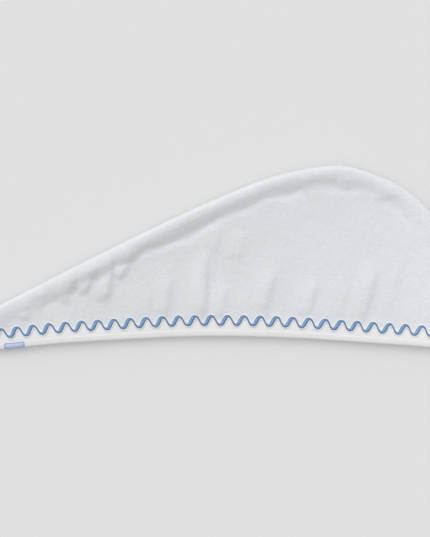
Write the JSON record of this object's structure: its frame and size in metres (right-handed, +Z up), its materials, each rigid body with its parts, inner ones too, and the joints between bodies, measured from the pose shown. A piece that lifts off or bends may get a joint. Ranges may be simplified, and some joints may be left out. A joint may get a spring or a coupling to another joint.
{
  "type": "hair towel",
  "caption": "Fin-shaped terry hair-drying towel laid flat: two panels sewn round a curved seam, open along a bound hem, with a wavy trim, a button and an elastic loop.",
  "frame": {"origin": "on the surface that the towel lies on, under the middle of the length and the depth of its terry body", "axes": "+X from the tail to the crown, +Y from the hem to the top of the crown, +Z up out of the surface"},
  "size_m": [0.7543, 0.2691, 0.02],
  "materials": {
    "terry": "white cotton terry, soft looped pile on both sides",
    "binding": "white woven cotton tape, folded over the hem and stitched",
    "wave_thread": "mid-blue satin-stitched thread with a soft sheen",
    "label_tape": "pale blue woven label tape, bare",
    "button_plastic": "white moulded resin, lightly polished",
    "elastic": "white braided round elastic"
  },
  "bodies": {
    "root": {"upper_panel": "terry", "lower_panel": "terry", "upper_binding": "binding", "lower_binding": "binding", "wave_trim": "wave_thread", "hem_label": "label_tape", "button": "button_plastic", "closing_loop": "elastic"}
  },
  "joints": []
}
